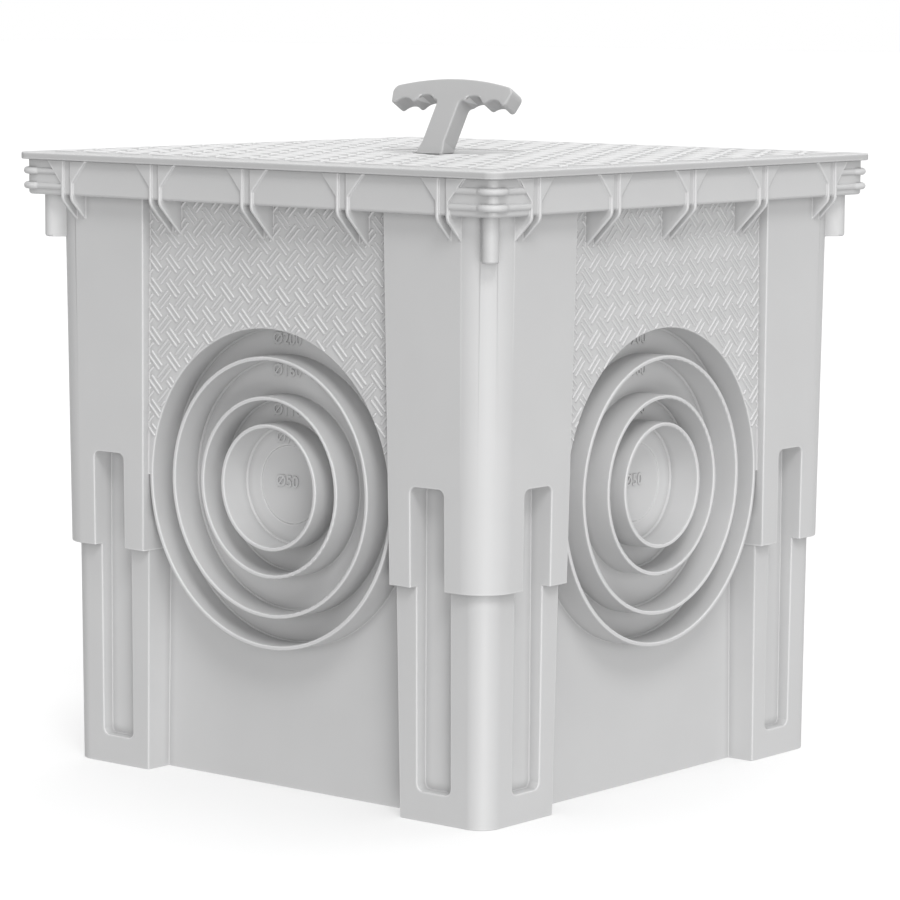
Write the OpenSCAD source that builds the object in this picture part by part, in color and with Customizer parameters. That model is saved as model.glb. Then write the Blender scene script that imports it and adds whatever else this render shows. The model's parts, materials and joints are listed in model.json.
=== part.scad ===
// Drain inspection chamber: a square moulded box for a junction of buried pipes.
// Each side carries four concentric pipe collars round one blanked opening, so the
// wall inside the collar of the pipe's size is cut away on site. Four hollow corner
// posts carry the box, a stiffened band runs round the mouth, and a tread lid sits on
// the band. A T-shaped lifting key hooks under the lip of a slot in the lid.
//
// Millimetres. The origin is the centre of the base, +Z is up. The side that faces -Y
// is side 0, and the others follow it anticlockwise seen from above.

/* [Chamber] */
// Height from the base to the top of the lid
total_h = 400; // [360:5:480]
// Thickness of the moulded walls
wall = 3; // [2.5:0.25:4]
// Thickness of the closed floor
floor_t = 4; // [3:0.5:6]
// How far the upper panels and the collar rims are set in from the band's face
panel_set = 18.4; // [16:0.2:22]

/* [Collars] */
// Height of the collars' common axis above the base
collar_z = 195; // [170:5:205]
// Largest pipe that the side takes
pipe_d_1 = 200; // [190:1:200]
// Second pipe size
pipe_d_2 = 160; // [150:1:165]
// Third pipe size
pipe_d_3 = 110; // [100:1:125]
// Smallest pipe collar
pipe_d_4 = 75; // [65:1:80]
// Diameter of the circle scored in the blank for the smallest pipe
score_d = 50; // [40:1:55]
// Radius of the scored groove's section
score_r = 0.5; // [0.3:0.1:0.8]
// Length of the collars, from the lower walls to their rims
collar_l = 22; // [18:0.5:26]
// Thickness of the collar walls
collar_t = 2.6; // [2:0.1:3.2]
// Rounding of the collar rims
rim_r = 0.8; // [0.5:0.1:1]

/* [Corner posts] */
// Height of the step between the slim foot of a post and its wider upper part
step_z = 145; // [120:5:160]
// Gap between the largest collar and the upper part of a post, at the step
post_gap = 1.6; // [1:0.1:4]
// How far the foot's inner faces stand back from the upper part's, at the base
foot_in = 3.2; // [2.5:0.1:6]
// How far the foot's outer faces are set in from the upper part's, at the base
foot_set = 7.4; // [6:0.1:9]
// Draft of the foot's outer faces over its height
foot_draft = 1.2; // [0.6:0.1:2]
// Draft of the foot's inner faces over its height
foot_draft_in = 2.5; // [1:0.1:3]
// Corner radius of a foot
foot_r = 14; // [10:1:18]
// How far the upper part's outer faces are set in from the band's face, at the step
post_set = 13.7; // [12:0.1:16]
// Draft of the upper part's outer faces over its height
post_draft = 2.8; // [2:0.1:4]
// Draft of the upper part's inner faces over its height
post_draft_in = 3.5; // [2:0.1:5]
// Corner radius of the upper part
post_r = 22; // [18:1:24]

/* [Post slots] */
// Distance from a post's inner side to the middle of its slots
slot_in = 30.2; // [26:0.2:32]
// Width of a slot
slot_w = 26.4; // [22:0.2:28]
// Height of a slot's lower end
slot_z0 = 18.8; // [12:0.2:30]
// Height of a slot's upper end
slot_z1 = 207; // [180:1:220]
// Depth of a slot in the foot, at the base
slot_d = 7.9; // [5:0.1:9]
// Corner radius of a slot
slot_r = 4.5; // [3:0.5:6]

/* [Band] */
// How far the band's outer face is set in from the lid's edge
band_set = 4.6; // [3.5:0.1:5.5]
// Height of the band below the lid
band_h = 22.7; // [20:0.1:26]
// Corner radius of the band
band_r = 5; // [4:0.5:7]
// Rounding of the band's lower edge
band_edge_r = 2; // [1:0.25:3]
// Distance between neighbouring gussets along a side
gusset_pitch = 78.4; // [76:0.2:79]
// Distance between the two fins of a gusset
fin_pitch = 8; // [7:0.2:9]
// Thickness of a fin
fin_t = 2.2; // [1.8:0.1:2.6]
// How far gussets stand proud of the band
gusset_proud = 1.6; // [1.5:0.1:2]
// Height of a gusset's spread plate below the lid
spread_h = 14.3; // [12:0.1:16]
// Width of a spread plate at the lid
spread_w = 34.4; // [30:0.2:38]
// Depth below the lid at which the fins turn in towards the wall
knee_h = 25.4; // [24:0.2:28]
// Radius of the fins' bend
knee_r = 7; // [4:0.5:9]
// Section radius of the rubbing beads round the band's corners
bead_r = 2.3; // [1.8:0.1:2.6]
// How far the beads stand proud of the band
bead_proud = 1.6; // [1.1:0.1:2]
// Depth of the upper bead below the lid
bead_drop = 7.4; // [6.5:0.1:8.5]
// Distance between the two beads
bead_pitch = 9.6; // [8.5:0.1:10.5]
// Distance from the band's faces to the centre of a bead's corner bulge
bulge_in = 6; // [5:0.5:7]
// Radius of the corner bulge to the middle of the bead
bulge_r = 7.5; // [6:0.5:9]

/* [Corner bosses] */
// Radius of the boss under each corner of the band
boss_r = 5; // [4.5:0.25:6.5]
// Rounding of the boss's lower edge
boss_edge_r = 1.8; // [1:0.2:3]
// How far the boss's centre is set in from the band's faces
boss_set = 12.2; // [10:0.2:14]
// Height of the boss below the band
boss_h = 27.7; // [20:0.1:40]

/* [Lid] */
// Side of the square lid
lid_side = 400; // [396:1:410]
// Thickness of the lid plate
lid_t = 4.6; // [4:0.1:6]
// Corner radius of the lid
lid_r = 9; // [6:0.5:12]
// Depth of the locating skirt under the lid
skirt_h = 15; // [10:1:18]
// Thickness of the skirt
skirt_t = 2.5; // [2:0.1:3]
// Gap between the skirt and the inside of the band
skirt_gap = 1; // [0.5:0.1:1.5]
// Depth of the stiffening ribs under the lid
rib_h = 11; // [8:1:14]
// Thickness of a stiffening rib
rib_t = 2.2; // [1.8:0.1:2.8]
// Distance between stiffening ribs
rib_pitch = 62; // [50:1:70]
// Diameter of the shallow dish round the key slot
dish_d = 92; // [84:1:100]
// Depth of the dish
dish_t = 0.8; // [0.5:0.1:1.2]

/* [Lifting key] */
// Distance from the lid's middle to the front edge of the key's foot
key_y = 22; // [20:0.5:24]
// Angle at which the key leans back
key_lean = 30.5; // [25:0.5:35]
// Thickness of the key
key_t = 13.2; // [12:0.1:15]
// Length of the grip
grip_w = 102.6; // [90:0.2:110]
// Height of the grip's crown along the leaning key
grip_h = 56.6; // [52:0.2:64]
// Depth of the grip from crown to cusp line
grip_d = 15.5; // [14:0.5:17]
// Radius of the grip's crown
grip_r = 205; // [170:1:220]
// Angle by which the grip's ends lean in towards the stem
grip_end = 14; // [8:1:18]
// Rounding of the grip's ends
grip_end_r = 5; // [3:0.5:6]
// Radius of a finger scallop
scallop_r = 9.7; // [9:0.1:10.5]
// Distance from the middle to the centre of the inner scallop
scallop_x1 = 20; // [19.5:0.1:20.5]
// Distance from the middle to the centre of the outer scallop
scallop_x2 = 37.4; // [37:0.1:38]
// How far the scallops cut in above the cusp line
scallop_cut = 4; // [3:0.1:4.5]
// Width of the stem
stem_w = 18.6; // [16:0.1:20]
// Width of the foot
foot_key_w = 23.4; // [22:0.1:26]
// Height over which the stem flares into the foot
flare_h = 10; // [8:0.5:14]
// Clearance between the key's foot and the lid
key_gap = 0.2; // [0.1:0.05:0.3]
// Width of the hook that passes through the slot
hook_w = 16; // [14:0.5:17]
// Thickness of the hook's shank
shank_t = 8; // [7:0.25:8.5]
// How far the shank stands behind the front edge of the foot
shank_set = 2.5; // [2:0.1:3]
// Reach of the hook's toe in front of the foot
toe_reach = 4; // [3:0.25:5]
// Thickness of the hook's toe
toe_t = 5; // [4:0.25:6]
// Clearance round the hook in its slot and under the lid
hook_gap = 0.6; // [0.5:0.05:1]

/* [Hidden] */
$fn = 96;
over = 1;                                // how far cutters run past a face
seat_z = total_h - lid_t;                // top of the band, where the lid rests
ledge_z = seat_z - band_h;               // underside of the band
band_half = lid_side / 2 - band_set;     // outer face of the band
panel_half = band_half - panel_set;      // outer face of the upper panels
wall_half = panel_half - collar_l;       // outer face of the lower walls
post_half = band_half - post_set;        // post's outer faces at the step
post_in = pipe_d_1 / 2 + collar_t + post_gap;             // its inner faces there
post_w = post_half - post_in;
post_top_w = post_w + post_draft + post_draft_in;
foot_half = post_half - foot_set;        // foot's outer faces at the base
foot_w = foot_half - post_in - foot_in;
foot_top_w = foot_w + foot_draft + foot_draft_in;
slot_x = post_in + slot_in;
slot_half = foot_half - slot_d;          // floor of a slot
boss_half = band_half - boss_set;
gusset_half = band_half + gusset_proud;  // outer face of the gussets
skirt_half = band_half - wall - skirt_gap;
dish_z = total_h - dish_t;
key_z = dish_z + key_gap;                // underside of the key's foot
hook_drop = lid_t + hook_gap;            // from the lid's top down to the toe's upper face
hook_z = total_h - hook_drop - toe_t;    // underside of the hook
shank_y = key_y - shank_set;             // front of the shank, measured towards -Y
heel_r = norm([shank_set + shank_t, hook_drop + toe_t]);  // swing of the hook's heel
slot_front = shank_y + hook_gap;
slot_back = key_y - heel_r - hook_gap;

/* Shared shapes */

// A square plate with rounded corners, centred on the axis.
module rounded_square(half, r) {
    square([2 * half, 2 * (half - r)], center = true);
    square([2 * (half - r), 2 * half], center = true);
    for (x = [-1, 1], y = [-1, 1])
        translate([x * (half - r), y * (half - r)])
            circle(r = r);
}

// An upright panel with rounded corners, from z0 to z1 and centred on x.
module rounded_panel(x, w, z0, z1, r) {
    translate([x - w / 2 + r, z0])
        square([w - 2 * r, z1 - z0]);
    translate([x - w / 2, z0 + r])
        square([w, z1 - z0 - 2 * r]);
    for (dx = [-1, 1], z = [z0 + r, z1 - r])
        translate([x + dx * (w / 2 - r), z])
            circle(r = r);
}

// Extrudes a shape drawn in X and Z outwards from side 0, between two distances
// from the axis.
module outwards(from, to) {
    translate([0, -from, 0])
        rotate([90, 0, 0])
            linear_extrude(height = to - from)
                children();
}

// Puts the same shape on all four sides.
module each_side() {
    for (side = [0 : 3])
        rotate([0, 0, 90 * side])
            children();
}

// The corner post in plan: a square whose outer corner is rounded.
function post_plan(inner, outer, r) = concat(
    [[inner, inner], [outer, inner]],
    [for (a = [0 : 3.75 : 90]) [outer - r + r * cos(a), outer - r + r * sin(a)]],
    [[inner, outer]]);

// One stage of a corner post, drafted between two plans. A positive inset gives the
// hollow inside it.
module post_stage(z0, z1, half, w, w_top, draft, r, inset) {
    grow = (w_top - 2 * inset) / (w - 2 * inset);
    outer = half - inset;
    fixed = (outer * grow - (outer + draft)) / (grow - 1);
    translate([fixed, fixed, z0])
        linear_extrude(height = z1 - z0, scale = grow)
            translate([-fixed, -fixed])
                polygon(post_plan(half - w + inset, outer, r - inset));
}

/* Chamber body */

// The slim foot stage of a post, or its hollow.
module foot_stage(inset, z0) {
    post_stage(z0, step_z + (inset > 0 ? wall + over : 0), foot_half, foot_w, foot_top_w,
        foot_draft, foot_r, inset);
}

// The wide upper stage of a post, or its hollow.
module upper_stage(inset) {
    post_stage(step_z + inset, ledge_z + wall, post_half, post_w, post_top_w,
        post_draft, post_r, inset);
}

// The concentric collar of one pipe size, with its rim rounded on both edges.
module collar(pipe_d) {
    translate([0, -wall_half, collar_z])
        rotate([90, 0, 0])
            rotate_extrude()
                translate([pipe_d / 2, 0]) {
                    translate([0, -over])
                        square([collar_t, collar_l - rim_r + over]);
                    translate([rim_r, 0])
                        square([collar_t - 2 * rim_r, collar_l]);
                    for (x = [rim_r, collar_t - rim_r])
                        translate([x, collar_l - rim_r])
                            circle(r = rim_r, $fn = 32);
                }
}

// A disc on the collars' axis, between two distances from the chamber's axis.
module collar_disc(r, from, to) {
    outwards(from, to)
        translate([0, collar_z])
            circle(r = r);
}

// One thin fin: upright against the band, then turned in at 45 degrees to the wall.
module fin() {
    knee_z = seat_z - knee_h;
    root = panel_half - wall / 2;
    bend = 45;
    tangent = knee_r * tan(bend / 2);
    profile = concat(
        [[root, seat_z], [gusset_half, seat_z]],
        [for (a = [0 : 7.5 : bend])
            [gusset_half - knee_r + knee_r * cos(a), knee_z + tangent - knee_r * sin(a)]],
        [[root, knee_z - (gusset_half - root)]]);
    translate([fin_t / 2, 0, 0])
        rotate([90, 0, -90])
            linear_extrude(height = fin_t)
                polygon(profile);
}

// A gusset: two fins, with a plate on each that spreads up to the lid.
module gusset() {
    for (side = [-1, 1])
        translate([side * fin_pitch / 2, 0, 0])
            fin();
    fin_edge = (fin_pitch + fin_t) / 2;
    outwards(band_half - wall / 2, gusset_half)
        for (side = [-1, 1])
            polygon([
                [side * (fin_pitch - fin_t) / 2, seat_z],
                [side * spread_w / 2, seat_z],
                [side * fin_edge, seat_z - spread_h],
                [side * (fin_pitch - fin_t) / 2, seat_z - spread_h]]);
}

// The two rubbing beads round the corner between side 0 and side 1.
module corner_beads() {
    face = band_half - bead_r + bead_proud;
    start = 2 * gusset_pitch + fin_pitch / 2;
    run = band_half - band_r - start;
    for (i = [0 : 1])
        translate([0, 0, seat_z - bead_drop - i * bead_pitch]) {
            translate([start, -face, 0])
                rotate([0, 90, 0])
                    cylinder(r = bead_r, h = run);
            translate([face, -start, 0])
                rotate([90, 0, 0])
                    cylinder(r = bead_r, h = run);
            translate([band_half - bulge_in, -(band_half - bulge_in), 0])
                rotate_extrude()
                    translate([bulge_r, 0])
                        circle(r = bead_r);
        }
}

// The round boss under a corner of the band, joined to the post behind it.
module corner_boss() {
    back = sqrt(2) * (boss_half - post_half) + post_r / 2;
    translate([boss_half, -boss_half, ledge_z - boss_h])
        rotate([0, 0, -45]) {
            rotate_extrude() {
                translate([0, boss_edge_r])
                    square([boss_r, boss_h + wall / 2 - boss_edge_r]);
                square([boss_r - boss_edge_r, boss_h]);
                translate([boss_r - boss_edge_r, boss_edge_r])
                    circle(r = boss_edge_r, $fn = 32);
            }
            translate([-back, -boss_r, 0])
                cube([back, 2 * boss_r, boss_h + wall / 2]);
        }
}

// What is cut off a lower edge to round it, drawn with the edge at the origin.
module edge_cutter() {
    difference() {
        translate([-over, -over])
            square(band_edge_r + over);
        translate([band_edge_r, band_edge_r])
            circle(r = band_edge_r, $fn = 32);
    }
}

// The band under the lid, a plate with its lower edge rounded.
module band() {
    straight = band_half - band_r;
    difference() {
        translate([0, 0, ledge_z])
            linear_extrude(height = band_h)
                rounded_square(band_half, band_r);
        each_side()
            translate([0, 0, ledge_z]) {
                translate([-straight, -band_half, 0])
                    rotate([90, 0, 90])
                        linear_extrude(height = 2 * straight)
                            edge_cutter();
                translate([straight, -straight, 0])
                    rotate([0, 0, -90])
                        rotate_extrude(angle = 90)
                            translate([band_r, 0])
                                mirror([1, 0])
                                    edge_cutter();
            }
    }
}

// Everything outside, as solids.
module outer_form() {
    translate([-wall_half, -wall_half, 0])
        cube([2 * wall_half, 2 * wall_half, ledge_z + wall]);
    band();
    each_side() {
        foot_stage(0, 0);
        upper_stage(0);
        outwards(wall_half - over, panel_half)
            translate([-post_in - wall, collar_z])
                square([2 * (post_in + wall), ledge_z + wall - collar_z]);
        collar(pipe_d_1);
        for (i = [-2 : 2])
            translate([i * gusset_pitch, 0, 0])
                gusset();
        corner_beads();
        corner_boss();
    }
}

// The hollow behind an upper panel, round the pocket of the largest collar.
module panel_hollow() {
    half = post_in + 2 * wall;
    difference() {
        outwards(wall_half - wall - over, panel_half - wall)
            translate([-half, collar_z + wall])
                square([2 * half, ledge_z + wall - collar_z - wall]);
        collar_disc(pipe_d_1 / 2 + collar_t, wall_half - wall - 2 * over, panel_half);
    }
}

// The slots of a post, one in each of the two faces that meet at its corner.
module slot_pair(inset) {
    for (flip = [0, 1])
        rotate([0, 0, 90 * flip])
            outwards(slot_half - inset, post_half + post_draft + over)
                rounded_panel((1 - 2 * flip) * slot_x, slot_w + 2 * inset,
                    slot_z0 - inset, slot_z1 + inset, slot_r + inset);
}

// The inside of the chamber.
module hollow() {
    inner = wall_half - wall;
    translate([-inner, -inner, floor_t])
        cube([2 * inner, 2 * inner, total_h]);
    translate([0, 0, ledge_z + wall])
        linear_extrude(height = band_h)
            rounded_square(band_half - wall, band_r - wall / 2);
    each_side()
        panel_hollow();
    difference() {
        each_side() {
            foot_stage(wall, floor_t);
            upper_stage(wall);
        }
        each_side()
            slot_pair(wall);
    }
}

// The circle scored in the blank for the smallest pipe.
module score() {
    translate([0, -wall_half, collar_z])
        rotate([90, 0, 0])
            rotate_extrude()
                translate([score_d / 2, 0])
                    circle(r = score_r, $fn = 32);
}

module chamber_body() {
    color("gainsboro") {
        difference() {
            outer_form();
            hollow();
            each_side() {
                slot_pair(0);
                collar_disc(pipe_d_1 / 2, wall_half, panel_half + over);
                score();
            }
        }
        each_side()
            for (d = [pipe_d_2, pipe_d_3, pipe_d_4])
                collar(d);
    }
}

/* Lid */

// Stiffening ribs in both directions, inside the skirt. The innermost ones clear the
// key's hook.
module lid_ribs() {
    first = max(rib_pitch / 2, key_y + toe_reach + 2 * hook_gap + rib_t / 2);
    reach = skirt_half - skirt_t / 2;
    for (side = [0 : 3], x = [first : rib_pitch : skirt_half - skirt_t - rib_t])
        rotate([0, 0, 90 * side])
            translate([x - rib_t / 2, -reach, seat_z - rib_h])
                cube([rib_t, 2 * reach, rib_h + lid_t / 2]);
}

module access_lid() {
    color("whitesmoke")
        difference() {
            union() {
                translate([0, 0, seat_z])
                    linear_extrude(height = lid_t)
                        rounded_square(lid_side / 2, lid_r);
                difference() {
                    translate([0, 0, seat_z - skirt_h])
                        linear_extrude(height = skirt_h + lid_t / 2)
                            rounded_square(skirt_half, band_r - wall / 2);
                    translate([0, 0, seat_z - skirt_h - over])
                        linear_extrude(height = skirt_h + over)
                            rounded_square(skirt_half - skirt_t, band_r - wall);
                }
                lid_ribs();
            }
            translate([0, 0, dish_z])
                cylinder(d = dish_d, h = dish_t + over);
            translate([-hook_w / 2 - hook_gap, -slot_front, seat_z - over])
                cube([hook_w + 2 * hook_gap, slot_front - slot_back, lid_t + 2 * over]);
        }
}

/* Lifting key */

// Rounds outer corners by r_out and inner corners by r_in.
module soften(r_out, r_in) {
    offset(r = -r_in, $fn = 48)
        offset(r = r_in + r_out, $fn = 48)
            offset(r = -r_out, $fn = 48)
                children();
}

// The grip before its scallops: a stretch of a ring whose ends lean in.
module grip_blank() {
    centre = grip_h - grip_r;
    corner_z = centre + sqrt(pow(grip_r, 2) - pow(grip_w / 2, 2));
    low = grip_w / 2 - corner_z * tan(grip_end);
    high = grip_w / 2 + corner_z * tan(grip_end);
    intersection() {
        difference() {
            translate([0, centre])
                circle(r = grip_r, $fn = 360);
            translate([0, centre])
                circle(r = grip_r - grip_d, $fn = 360);
        }
        polygon([[-low, 0], [low, 0], [high, 2 * corner_z], [-high, 2 * corner_z]]);
    }
}

// The key's outline in the plane of its leaning plate, from the foot upwards.
module key_outline() {
    centre = grip_h - grip_r;
    difference() {
        soften(grip_end_r, 0)
            grip_blank();
        for (x = [scallop_x1, scallop_x2], side = [-1, 1]) {
            cusp = centre + sqrt(pow(grip_r - grip_d, 2) - x * x);
            translate([side * x, cusp + scallop_cut - scallop_r])
                circle(r = scallop_r);
        }
    }
    polygon([
        [-foot_key_w / 2, -over],
        [foot_key_w / 2, -over],
        [foot_key_w / 2, 0],
        [stem_w / 2, flare_h],
        [stem_w / 2, grip_h - grip_d + over],
        [-stem_w / 2, grip_h - grip_d + over],
        [-stem_w / 2, flare_h],
        [-foot_key_w / 2, 0]]);
}

module lifting_key() {
    color("lightgray") {
        intersection() {
            translate([0, -key_y, key_z])
                rotate([90 - key_lean, 0, 0])
                    translate([0, 0, -key_t])
                        linear_extrude(height = key_t)
                            union() {
                                soften(2.5, 3)
                                    key_outline();
                                translate([-foot_key_w / 2, -key_t])
                                    square([foot_key_w, key_t + over]);
                            }
            translate([-grip_w, -grip_w, key_z])
                cube([2 * grip_w, 2 * grip_w, 2 * grip_h]);
        }
        translate([-hook_w / 2, -shank_y, hook_z])
            cube([hook_w, shank_t, key_z - hook_z + over]);
        translate([-hook_w / 2, -key_y - toe_reach, hook_z])
            cube([hook_w, toe_reach + shank_set + shank_t, toe_t]);
    }
}

chamber_body();
access_lid();
lifting_key();
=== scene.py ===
"""Looks of the drain inspection chamber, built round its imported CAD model.

Metres, +Z up, origin at the centre of the base. Side 0 faces -Y, and the other
sides follow it anticlockwise seen from above.
"""

import itertools
import json
import math

import bmesh
import bpy
from mathutils import Matrix, Vector
from mathutils.bvhtree import BVHTree


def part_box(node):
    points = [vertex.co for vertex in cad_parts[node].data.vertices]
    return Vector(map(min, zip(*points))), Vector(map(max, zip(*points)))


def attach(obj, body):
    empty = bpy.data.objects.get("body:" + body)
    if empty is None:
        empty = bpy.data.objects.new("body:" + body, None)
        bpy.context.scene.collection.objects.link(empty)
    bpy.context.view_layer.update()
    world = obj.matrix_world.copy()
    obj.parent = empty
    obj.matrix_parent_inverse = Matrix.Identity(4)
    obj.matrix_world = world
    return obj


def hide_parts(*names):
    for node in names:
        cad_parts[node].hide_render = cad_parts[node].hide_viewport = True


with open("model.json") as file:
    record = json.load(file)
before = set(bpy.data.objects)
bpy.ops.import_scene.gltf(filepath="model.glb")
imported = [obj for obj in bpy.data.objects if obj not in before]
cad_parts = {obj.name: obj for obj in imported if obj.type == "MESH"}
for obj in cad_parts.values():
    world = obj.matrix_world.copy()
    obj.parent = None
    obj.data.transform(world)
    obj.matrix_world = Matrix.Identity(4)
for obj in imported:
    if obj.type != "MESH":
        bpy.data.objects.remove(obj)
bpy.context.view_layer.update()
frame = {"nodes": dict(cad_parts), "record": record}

MM = 0.001

# Places on the moulding, from the frame
LID_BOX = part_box("access_lid")
MOUNTS = {m["name"]: m for m in frame["record"]["mounts"]}
LID_TOP = LID_BOX[1].z
LID_HALF = LID_BOX[1].x
PANEL = LID_HALF - 23 * MM             # outer face of the upper panels
WALL = LID_HALF - 45 * MM              # outer face of the lower walls
LEDGE_Z = LID_TOP - 27.3 * MM          # underside of the band
STEP_Z = 145 * MM                      # step between the two stages of the posts
COLLAR_Z = MOUNTS["collar_side_0"]["pos_m"][2]
COLLARS = [200 * MM, 160 * MM, 110 * MM, 75 * MM]   # their inner diameters
CIRCLE = 50 * MM                       # the circle scored in the middle of each side


# ---------------------------------------------------------------- materials

TONE_DRIFT = (0.98, 1.02)              # darkest and palest share of a plastic's tone
BLUE_CAST = 1.003                      # blue as a share of red and green
CLOUD_RANGE = (0.3, 0.7)               # where most of the noise lies
SHEEN_DRIFT = (-0.04, 0.05)            # what the noise adds to the roughness
GRAIN_DEPTH = 0.1 * MM
EDGE_REACH = 1.2 * MM                  # how far from an edge the painted highlight reaches
NEAR_RAYS = 4                          # rays that look for other faces


def node(tree, kind, **inputs):
    """A new shader node with its inputs set by name."""
    made = tree.nodes.new(kind)
    for name, value in inputs.items():
        made.inputs[name.replace("_", " ")].default_value = value
    return made


def nearness(tree, inside, reach, closest, factor):
    """A factor of 1 on open faces that runs to the given one where other faces are close:
    in front, as in a corner, or behind, as at the edge of a wall."""
    probe = node(tree, "ShaderNodeAmbientOcclusion", Distance=reach)
    probe.samples = NEAR_RAYS
    probe.inside = inside
    probe.only_local = inside
    ramp = node(tree, "ShaderNodeMapRange", From_Min=closest, To_Min=factor)
    tree.links.new(probe.outputs["AO"], ramp.inputs["Value"])
    return ramp.outputs["Result"]


def noise(tree, place, scale, detail):
    """A noise fixed to the piece."""
    made = node(tree, "ShaderNodeTexNoise", Scale=scale, Detail=detail)
    tree.links.new(place, made.inputs["Vector"])
    return made.outputs["Fac"]


def uneven_tone(tree, cloud, tone):
    """A grey that drifts a little with the noise."""
    tint = node(tree, "ShaderNodeValToRGB")
    for stop, share, position in zip(tint.color_ramp.elements, TONE_DRIFT, CLOUD_RANGE):
        stop.color = (tone * share, tone * share, tone * share * BLUE_CAST, 1)
        stop.position = position
    tree.links.new(cloud, tint.inputs["Fac"])
    return tint.outputs["Color"]


def painted_shade_and_highlight(tree, colour, shade_reach, shade_factor, edge_highlight):
    """The colour dimmed by painted shade in the corners and made paler along the edges by
    a painted highlight.
    """
    painted_light = node(tree, "ShaderNodeMath")
    painted_light.operation = "MULTIPLY"
    # painted shade: darker where other faces are close, as in corners and creases
    corners = nearness(tree, inside=False, reach=shade_reach, closest=0.0, factor=shade_factor)
    # painted highlight: paler along the edges
    edges = nearness(tree, inside=True, reach=EDGE_REACH, closest=0.5, factor=edge_highlight)
    tree.links.new(corners, painted_light.inputs[0])
    tree.links.new(edges, painted_light.inputs[1])
    scaled = node(tree, "ShaderNodeVectorMath")
    scaled.operation = "SCALE"
    tree.links.new(colour, scaled.inputs["Vector"])
    tree.links.new(painted_light.outputs["Value"], scaled.inputs["Scale"])
    return scaled.outputs["Vector"]


def uneven_sheen(tree, cloud, roughness):
    """A roughness that drifts a little with the noise."""
    low, high = (roughness + drift for drift in SHEEN_DRIFT)
    sheen = node(tree, "ShaderNodeMapRange", From_Min=CLOUD_RANGE[0],
                 From_Max=CLOUD_RANGE[1], To_Min=low, To_Max=high)
    tree.links.new(cloud, sheen.inputs["Value"])
    return sheen.outputs["Result"]


def fine_grain(tree, speckle, grain):
    """The faint grain of a mould's surface, as bent normals."""
    bump = node(tree, "ShaderNodeBump", Strength=grain, Distance=GRAIN_DEPTH)
    tree.links.new(speckle, bump.inputs["Height"])
    return bump.outputs["Normal"]


def plastic(name, tone, roughness, grain, gloss=0.4, shade_reach=8 * MM, shade_factor=0.62, edge_highlight=1.3):
    """Moulded polypropylene: slightly uneven tone and gloss, a fine grain, painted shade
    that reaches so far out of the corners and dims them to the given factor, and a painted
    highlight that makes the edges paler by another."""
    material = bpy.data.materials.new(name)
    material.use_nodes = True
    tree = material.node_tree
    shader = tree.nodes["Principled BSDF"]
    shader.inputs["Specular IOR Level"].default_value = gloss
    place = node(tree, "ShaderNodeTexCoord").outputs["Object"]
    cloud = noise(tree, place, scale=14.0, detail=4.0)
    # painted shade in the corners and a painted highlight along the edges, multiplied into
    # the colour
    colour = painted_shade_and_highlight(tree, uneven_tone(tree, cloud, tone), shade_reach, shade_factor, edge_highlight)
    tree.links.new(colour, shader.inputs["Base Color"])
    tree.links.new(uneven_sheen(tree, cloud, roughness), shader.inputs["Roughness"])
    speckle = noise(tree, place, scale=900.0, detail=2.0)
    tree.links.new(fine_grain(tree, speckle, grain), shader.inputs["Normal"])
    return material


BODY_PLASTIC = plastic("body_plastic", tone=0.57, roughness=0.42, grain=0.12,
                       shade_reach=6 * MM, edge_highlight=1.45)
# the lid has strong painted shade round its lenses and a strong painted highlight along
# its edges
LID_PLASTIC = plastic("lid_plastic", tone=0.49, roughness=0.6, grain=0.12, gloss=0.2,
                      shade_reach=4 * MM, shade_factor=0.3, edge_highlight=2.0)
KEY_PLASTIC = plastic("key_plastic", tone=0.445, roughness=0.45, grain=0.2, edge_highlight=1.45)
TREAD_PLASTIC = plastic("tread_plastic", tone=0.63, roughness=0.26, grain=0.0, gloss=0.5,
                        shade_reach=2 * MM, edge_highlight=1.0)
# A paler copy of the lid's plastic, as a painted highlight on the lenses, with painted
# shade that runs to black where they meet the lid.
LENS_PLASTIC = plastic("lens_plastic", tone=0.63, roughness=0.3, grain=0.05,
                       shade_reach=3 * MM, shade_factor=0.0, edge_highlight=1.0)
TRIM_PLASTIC = plastic("trim_plastic", tone=0.55, roughness=0.42, grain=0.05,
                       shade_reach=3 * MM, edge_highlight=1.0)


def dress(obj, material):
    """Gives the object this one material."""
    obj.data.materials.clear()
    obj.data.materials.append(material)


# ---------------------------------------------------------------- mesh helpers

SINK = 0.3 * MM                        # how far raised trim is let into its face
SHARP = 50                             # degrees over which an edge isn't smooth
BAR_STEPS = 8                          # steps along a bar, and across it
BAR_CROWN = 0.7                        # under 1 gives steep flanks and a flatter top
BLUNT = 0.02                           # share of a bar's width and height at its tips
LENS_OUTLINE = (2.4, 0.8)              # powers that shape a lens seen from above
LENS_RIDGE = (5, 0.5)                  # and from beside


def side_matrix(side, depth):
    """From a drawing of one side (X to the right, Y up, Z outwards) to the frame."""
    turn = Matrix.Rotation(math.radians(90 * side), 4, "Z")
    stand = Matrix.Rotation(math.radians(90), 4, "X")
    return turn @ Matrix.Translation((0, -depth, 0)) @ stand


def bridge(bm, ring, after):
    """The faces between two closed rings with equally many points."""
    for j in range(len(ring)):
        k = (j + 1) % len(ring)
        bm.faces.new((ring[j], after[j], after[k], ring[k]))


def swell(t, power, root):
    """A curve from 0 at t = -1 up to 1 in the middle and back to 0 at t = 1."""
    return (1 - abs(t) ** power) ** root


def bar_shares(t, length, width, lens):
    """Width and height of a bar as shares of the full ones, at t from -1 to 1 along it."""
    if lens:
        return swell(t, *LENS_OUTLINE), swell(t, *LENS_RIDGE)
    run = max(0.0, abs(t) * length / 2 - (length - width) / 2) / (width / 2)
    share = math.sqrt(max(0.0, 1 - run * run))
    return share, share


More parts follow.
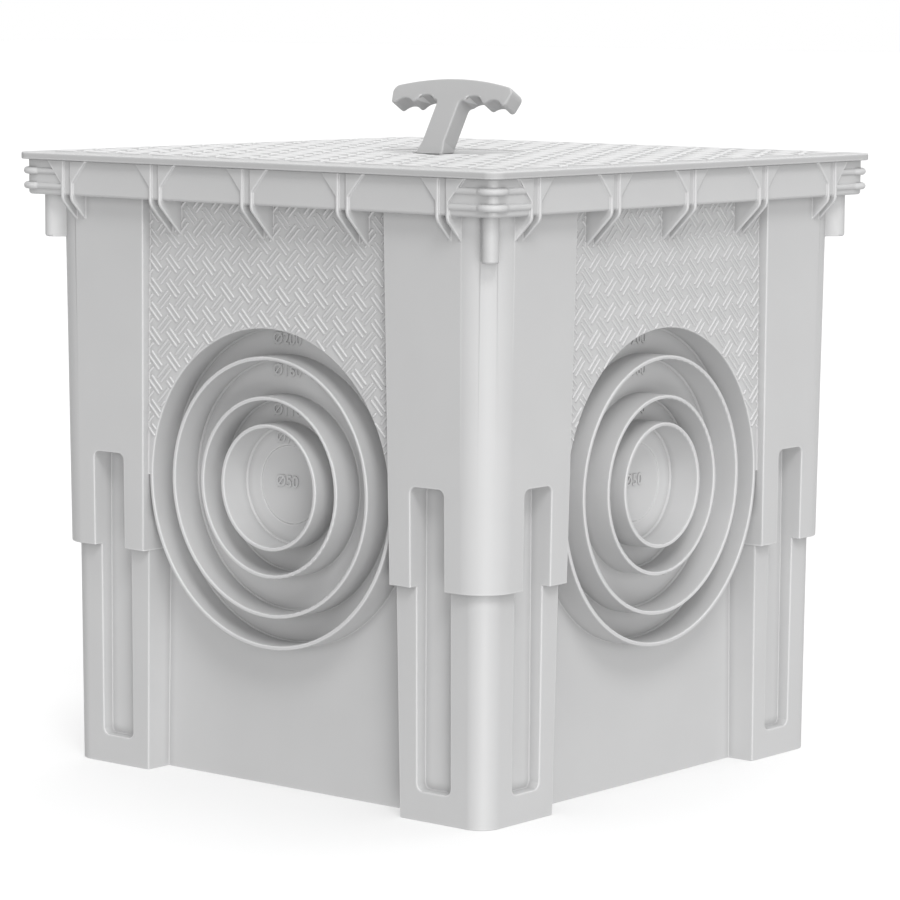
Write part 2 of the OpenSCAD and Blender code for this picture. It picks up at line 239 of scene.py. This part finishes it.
def add_bar(bm, place, middle, angle, length, width, height, lens=False):
    """A raised bar with steep flanks, a rounded top and blunt ends on a flat face.
    Place maps the drawing to the frame. A lens narrows all the way to its ends."""
    along = Vector((math.cos(angle), math.sin(angle), 0))
    beside = Vector((-along.y, along.x, 0))
    rings = []
    for i in range(BAR_STEPS + 1):
        t = -math.cos(math.pi * i / BAR_STEPS)
        wide, high = (max(s, BLUNT) for s in bar_shares(t, length, width, lens))
        ring = []
        for j in range(BAR_STEPS + 1):
            a = math.pi * j / BAR_STEPS
            rise = math.sin(a) ** BAR_CROWN * height * high
            point = (middle.to_3d() + along * (t * length / 2)
                     + beside * (-math.cos(a) * width / 2 * wide)
                     + Vector((0, 0, rise - SINK)))
            ring.append(bm.verts.new(place @ point))
        rings.append(ring)
    for ring, after in zip(rings, rings[1:]):
        bridge(bm, ring, after)
    bm.faces.new(rings[0])
    bm.faces.new(list(reversed(rings[-1])))


def finish_mesh(name, bm, material, body):
    """Turns the bmesh into a smooth piece that rides on a body."""
    bmesh.ops.recalc_face_normals(bm, faces=bm.faces)
    mesh = bpy.data.meshes.new(name)
    bm.to_mesh(mesh)
    bm.free()
    mesh.polygons.foreach_set("use_smooth", [True] * len(mesh.polygons))
    mesh.set_sharp_from_angle(angle=math.radians(SHARP))
    piece = bpy.data.objects.new(name, mesh)
    bpy.context.scene.collection.objects.link(piece)
    dress(piece, material)
    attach(piece, body)
    return piece


# ---------------------------------------------------------------- rounded copies

WELD = 0.002 * MM                      # points closer than this are one
FLAT = 0.5                             # degrees under which two faces are one
ROOM_RADII = 2.2                       # how many radii of face a rounding needs beside it
OFF_FACE = 0.05 * MM                   # how far off the edge a look outwards starts
BEAD_END = (165.8 * MM, 196.6 * MM, 385.4 * MM)     # where a corner bead runs out
BEAD_CLEAR = 6 * MM


def split_flat_faces(bm, point, normal):
    """Cuts the mesh through a plane, so that no flat face is a closed ring."""
    cut = bmesh.ops.bisect_plane(bm, geom=bm.verts[:] + bm.edges[:] + bm.faces[:],
                                 dist=WELD, plane_co=point, plane_no=normal)
    for part in cut["geom_cut"]:
        if isinstance(part, bmesh.types.BMEdge):
            part.seam = True


def middle_of(edge):
    """The middle of an edge."""
    return (edge.verts[0].co + edge.verts[1].co) / 2


def has_room(edge, depth):
    """True where both faces beside the edge run on for at least this far."""
    for loop in edge.link_loops:
        along = (loop.link_loop_next.vert.co - loop.vert.co).normalized()
        spot = middle_of(edge) + loop.face.normal.cross(along) * depth
        if not bmesh.geometry.intersect_face_point(loop.face, spot):
            return False
    return True


def is_outside(edge, tree):
    """True where the edge can be seen from beside or below the piece."""
    outwards = (edge.link_faces[0].normal + edge.link_faces[1].normal).normalized()
    spot = middle_of(edge) + outwards * OFF_FACE
    ways = ((1, 0, 0), (-1, 0, 0), (0, 1, 0), (0, -1, 0), (0, 0, -1))
    return any(tree.ray_cast(spot, Vector(way))[0] is None for way in ways)


def is_crowded(edge):
    """True at the slanting ends of the corner beads, where a rounding finds no room."""
    near, far, height = BEAD_END
    ends = (Vector((near, far, height)), Vector((far, near, height)))
    corners = [Vector((abs(v.co.x), abs(v.co.y), v.co.z)) for v in edge.verts]
    return any((corner - end).length < BEAD_CLEAR for corner in corners for end in ends)


def rounded_copy(cad_node, name, material, body, radius, steps, sharpest,
                 crowded=False):
    """A copy that stands for a CAD node, with each edge rounded that bends by more than
    the given degrees. On a crowded piece only open edges on the outside are rounded."""
    bm = bmesh.new()
    bm.from_mesh(frame["nodes"][cad_node].data)
    bmesh.ops.remove_doubles(bm, verts=bm.verts, dist=WELD)
    split_flat_faces(bm, (0, 0, 0), (1, 0, 0))
    split_flat_faces(bm, (0, 0, 0), (0, 1, 0))
    if crowded:
        split_flat_faces(bm, (0, 0, COLLAR_Z), (0, 0, 1))
    bmesh.ops.dissolve_limit(bm, angle_limit=math.radians(FLAT), verts=bm.verts,
                             edges=bm.edges, delimit={"SEAM"})
    sharp = [e for e in bm.edges
             if e.is_manifold and e.calc_face_angle() > math.radians(sharpest)]
    if crowded:
        tree = BVHTree.FromBMesh(bm)
        sharp = [e for e in sharp if has_room(e, ROOM_RADII * radius)
                 and is_outside(e, tree) and not is_crowded(e)]
    bmesh.ops.bevel(bm, geom=sharp, offset=radius, offset_type="OFFSET", segments=steps,
                    profile=0.5, affect="EDGES", clamp_overlap=False, loop_slide=True)
    bmesh.ops.triangulate(bm, faces=[f for f in bm.faces if len(f.verts) > 4])
    piece = finish_mesh(name, bm, material, body)
    weigh = piece.modifiers.new("flat_faces", "WEIGHTED_NORMAL")
    weigh.weight = 100
    weigh.keep_sharp = True
    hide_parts(cad_node)


# ---------------------------------------------------------------- side tread

TREAD_STEP = 15.68 * MM                # square lattice of the bar pairs
TREAD_X = -96.8 * MM                   # place of pair 0, 0 on a panel
TREAD_Z = 331.8 * MM
TREAD_COLUMNS = range(-2, 16)          # a little more than a panel holds
TREAD_ROWS = range(-5, 12)
TREAD_FOOT = COLLAR_Z + 25 * MM        # where the tread ends beside the hole
TREAD_HEAD = LEDGE_Z + 1 * MM
HOLE_RADIUS = COLLARS[0] / 2 + 1 * MM  # with a narrow plain strip round it
POST_X = 107.1 * MM                    # inner side of a post at its step
POST_DRAFT = 3.7 / 228                 # how fast it comes closer further up
BAR_LENGTH = 13.6 * MM
BAR_WIDTH = 1.7 * MM
BAR_HEIGHT = 1.1 * MM
PAIR_GAP = 3.7 * MM                    # between the middle lines of a pair
CLIP_STEPS = 24                        # steps in which a bar is cut to length
CLIP_FEWEST = 6                        # a bar with fewer points on the panel is left out


def on_panel(x, z):
    """True where the tread lies: between the posts, under the band, round the hole."""
    between_posts = abs(x) < POST_X - POST_DRAFT * (z - STEP_Z)
    off_hole = math.hypot(x, z - COLLAR_Z) > HOLE_RADIUS
    return between_posts and TREAD_FOOT < z < TREAD_HEAD and off_hole


def clip_bar(x, z, angle):
    """Middle and length of the stretch of a bar that lies on the panel."""
    reach = (BAR_LENGTH - BAR_WIDTH) / 2
    spots = [(2 * i / CLIP_STEPS - 1) * reach for i in range(CLIP_STEPS + 1)]
    kept = [s for s in spots if on_panel(x + s * math.cos(angle), z + s * math.sin(angle))]
    if len(kept) < CLIP_FEWEST:
        return None
    middle = (kept[0] + kept[-1]) / 2
    return (Vector((x + middle * math.cos(angle), z + middle * math.sin(angle))),
            kept[-1] - kept[0] + BAR_WIDTH)


def add_pair(bm, place, column, row, angle):
    """Two parallel bars at a point of the lattice."""
    x = TREAD_X + column * TREAD_STEP
    z = TREAD_Z - row * TREAD_STEP
    for offset in (-PAIR_GAP / 2, PAIR_GAP / 2):
        bar = clip_bar(x - math.sin(angle) * offset, z + math.cos(angle) * offset, angle)
        if bar:
            middle, length = bar
            add_bar(bm, place, middle, angle, length, BAR_WIDTH, BAR_HEIGHT)


def side_tread(side):
    """Pairs of parallel bars, laid in two directions over an upper panel."""
    bm = bmesh.new()
    place = side_matrix(side, PANEL)
    for column, row in itertools.product(TREAD_COLUMNS, TREAD_ROWS):
        add_pair(bm, place, column, row, math.radians(-45))
        add_pair(bm, place, column + 0.5, row + 0.5, math.radians(45))
    finish_mesh(f"side_tread_{side}", bm, TREAD_PLASTIC, "chamber")


# ---------------------------------------------------------------- lid tread

LENS_STEP = 29.3 * MM                  # side of the triangles of the lattice
LENS_LENGTH = 22 * MM
LENS_WIDTH = 5.6 * MM
LENS_HEIGHT = 1.3 * MM
LID_MARGIN = 3 * MM                    # plain strip along the lid's edge
DISH_RADIUS = 46 * MM
DISH_MARGIN = 1 * MM                   # plain strip round the dish


def on_lid(spot):
    """True on the flat top of the lid, clear of its edge and of the dish."""
    off_edge = max(abs(spot.x), abs(spot.y)) <= LID_HALF - LID_MARGIN
    return off_edge and spot.length >= DISH_RADIUS + DISH_MARGIN


def lid_tread():
    """Lens-shaped bars in three directions on a triangular lattice."""
    bm = bmesh.new()
    place = Matrix.Translation((0, 0, LID_TOP))
    row_step = LENS_STEP * math.sqrt(3) / 2
    most = math.ceil(LID_HALF / row_step) + 1
    for row, column in itertools.product(range(-most, most + 1), repeat=2):
        corner = Vector(((column + (row % 2) / 2) * LENS_STEP, row * row_step))
        for turn in (0, 60, 120):
            angle = math.radians(turn)
            way = Vector((math.cos(angle), math.sin(angle)))
            middle = corner + way * LENS_STEP / 2
            half = way * LENS_LENGTH / 2
            if all(on_lid(spot) for spot in (middle - half, middle, middle + half)):
                add_bar(bm, place, middle, angle, LENS_LENGTH, LENS_WIDTH,
                        LENS_HEIGHT, lens=True)
    finish_mesh("lid_tread", bm, LENS_PLASTIC, "lid")


# ---------------------------------------------------------------- numerals

NUMERAL_SIZE = 10.4 * MM
NUMERAL_RISE = 0.8 * MM
NUMERAL_BOLD = 0.2 * MM                # added round the strokes
NUMERAL_X = -2.8 * MM
NUMERAL_DROP = 8 * MM                  # from the top of a collar's bore down
CIRCLE_RISE = 1.6 * MM                 # from the middle of the scored circle up


def numerals(text):
    """Bold characters as a mesh, raised on both sides of Z = 0 round the origin."""
    curve = bpy.data.curves.new("numerals", "FONT")
    curve.body = text
    curve.size = NUMERAL_SIZE
    curve.align_x = "CENTER"
    curve.align_y = "CENTER"
    curve.extrude = NUMERAL_RISE
    curve.offset = NUMERAL_BOLD
    curve.resolution_u = 4
    carrier = bpy.data.objects.new("numerals", curve)
    bpy.context.scene.collection.objects.link(carrier)
    bpy.context.view_layer.update()
    graph = bpy.context.evaluated_depsgraph_get()
    mesh = bpy.data.meshes.new_from_object(carrier.evaluated_get(graph))
    bpy.data.objects.remove(carrier)
    return mesh


def pipe_numerals(side):
    """The plain pipe diameters, raised on the wall inside each collar and the circle."""
    bm = bmesh.new()
    rises = [(pipe, pipe / 2 - NUMERAL_DROP) for pipe in COLLARS] + [(CIRCLE, CIRCLE_RISE)]
    for pipe, rise in rises:
        part = numerals(f"Ø{pipe / MM:.0f}")
        shift = Matrix.Translation((NUMERAL_X, COLLAR_Z + rise, 0))
        part.transform(side_matrix(side, WALL) @ shift)
        bm.from_mesh(part)
        bpy.data.meshes.remove(part)
    finish_mesh(f"pipe_numerals_{side}", bm, TRIM_PLASTIC, "chamber")


# ---------------------------------------------------------------- collar roots

ROOT_STEP = 1.2 * MM                   # legs of the chamfer where a collar meets the wall
RING_FACETS = 144


def add_ring(bm, place, section):
    """A closed ring round the collars' axis. The section lists radius and height."""
    rings = []
    for i in range(RING_FACETS):
        a = math.tau * i / RING_FACETS
        rings.append([bm.verts.new(place @ Vector((r * math.cos(a),
                                                   COLLAR_Z + r * math.sin(a), out)))
                      for r, out in section])
    for ring, after in zip(rings, rings[1:] + rings[:1]):
        bridge(bm, ring, after)


def collar_roots(side):
    """The slim chamfered step round the foot of each collar, on its inside."""
    bm = bmesh.new()
    place = side_matrix(side, WALL)
    for pipe in COLLARS:
        bore = pipe / 2
        add_ring(bm, place, [(bore + SINK, -SINK), (bore + SINK, ROOT_STEP),
                             (bore, ROOT_STEP), (bore - ROOT_STEP, 0),
                             (bore - ROOT_STEP, -SINK)])
    finish_mesh(f"collar_roots_{side}", bm, TRIM_PLASTIC, "chamber")


# ---------------------------------------------------------------- stage

CAMERA_PLACE = (1.54296, -1.86794, 0.49814)         # solved from the photograph's edges
CAMERA_TURN = (83.056, -0.333, 39.561)              # degrees round X, Y and Z
CAMERA_LENS = 147.26                   # mm, for a sensor of 36 mm
WHITE = (1, 1, 1, 1)
ROOM_LIGHT = 0.325                     # the even light from all round
FLOOR_REACH = 30                       # from its middle to its sides
FLOOR_GREY = (0.5, 0.5, 0.5, 1)
FLOOR_GLOW = 0.47


def camera():
    """The photograph's viewpoint: a long lens, a little above the lid."""
    data = bpy.data.cameras.new("camera")
    data.sensor_width = 36
    data.lens = CAMERA_LENS
    data.clip_end = 50
    obj = bpy.data.objects.new("camera", data)
    obj.location = CAMERA_PLACE
    obj.rotation_euler = [math.radians(a) for a in CAMERA_TURN]
    bpy.context.scene.collection.objects.link(obj)
    bpy.context.scene.camera = obj


def sunlamp(name, azimuth, elevation, spread, strength, glossy=True):
    """A distant soft light, whose azimuth runs from -Y towards +X. Strength 1 shows a
    white face that meets it squarely as white."""
    data = bpy.data.lights.new(name, "SUN")
    data.energy = math.pi * strength
    data.angle = math.radians(spread)
    obj = bpy.data.objects.new(name, data)
    turn, rise = math.radians(azimuth), math.radians(elevation)
    toward = Vector((math.sin(turn) * math.cos(rise), -math.cos(turn) * math.cos(rise),
                     math.sin(rise)))
    obj.rotation_euler = (-toward).to_track_quat("-Z", "Y").to_euler()
    obj.visible_glossy = glossy
    bpy.context.scene.collection.objects.link(obj)


def lamps():
    """Soft lamps in front, beside, above and behind, with their azimuth, elevation and
    spread in degrees and their strength."""
    sunlamp("front_low", 50, -16, 32, 0.35)
    sunlamp("front", 50, 4, 30, 0.04)
    sunlamp("front_high", 50, 45, 20, 0.33)
    sunlamp("left", 20, 10, 40, 0.15)
    sunlamp("right", 80, 10, 40, 0.14)
    sunlamp("overhead", 0, 90, 45, 0.44)
    sunlamp("back", 180, 40, 60, 0.23, glossy=False)
    sunlamp("far_side", 230, 15, 60, 0.23, glossy=False)


def surroundings():
    """Even light from all round, which looks white to the camera and in reflections."""
    world = bpy.data.worlds.new("studio")
    world.use_nodes = True
    tree = world.node_tree
    light = tree.nodes["Background"]
    light.inputs["Color"].default_value = WHITE
    light.inputs["Strength"].default_value = ROOM_LIGHT
    backdrop = node(tree, "ShaderNodeBackground", Color=WHITE, Strength=1.0)
    ray = node(tree, "ShaderNodeLightPath")
    seen = node(tree, "ShaderNodeMath")
    seen.operation = "MAXIMUM"
    tree.links.new(ray.outputs["Is Camera Ray"], seen.inputs[0])
    tree.links.new(ray.outputs["Is Glossy Ray"], seen.inputs[1])
    mix = node(tree, "ShaderNodeMixShader")
    tree.links.new(seen.outputs["Value"], mix.inputs[0])
    tree.links.new(light.outputs["Background"], mix.inputs[1])
    tree.links.new(backdrop.outputs["Background"], mix.inputs[2])
    tree.links.new(mix.outputs["Shader"], tree.nodes["World Output"].inputs["Surface"])
    bpy.context.scene.world = world
    bpy.context.scene.view_settings.view_transform = "Standard"


def floor():
    """A wide pale floor that glows a little, so that shadows on it stay faint."""
    bm = bmesh.new()
    bmesh.ops.create_grid(bm, x_segments=1, y_segments=1, size=FLOOR_REACH)
    mesh = bpy.data.meshes.new("floor")
    bm.to_mesh(mesh)
    bm.free()
    obj = bpy.data.objects.new("floor", mesh)
    bpy.context.scene.collection.objects.link(obj)
    obj.visible_diffuse = False
    obj.visible_glossy = False
    obj.visible_shadow = False
    material = bpy.data.materials.new("floor")
    material.use_nodes = True
    shader = material.node_tree.nodes["Principled BSDF"]
    shader.inputs["Base Color"].default_value = FLOOR_GREY
    shader.inputs["Roughness"].default_value = 0.9
    shader.inputs["Specular IOR Level"].default_value = 0.0
    shader.inputs["Emission Color"].default_value = WHITE
    shader.inputs["Emission Strength"].default_value = FLOOR_GLOW
    dress(obj, material)


camera()
lamps()
surroundings()
floor()
rounded_copy("chamber_body", "body_moulding", BODY_PLASTIC, "chamber",
             radius=0.7 * MM, steps=2, sharpest=30, crowded=True)
rounded_copy("access_lid", "lid_moulding", LID_PLASTIC, "lid",
             radius=0.8 * MM, steps=2, sharpest=25)
rounded_copy("lifting_key", "key_moulding", KEY_PLASTIC, "key",
             radius=1.2 * MM, steps=3, sharpest=35)
for side in range(4):
    side_tread(side)
    pipe_numerals(side)
    collar_roots(side)
lid_tread()
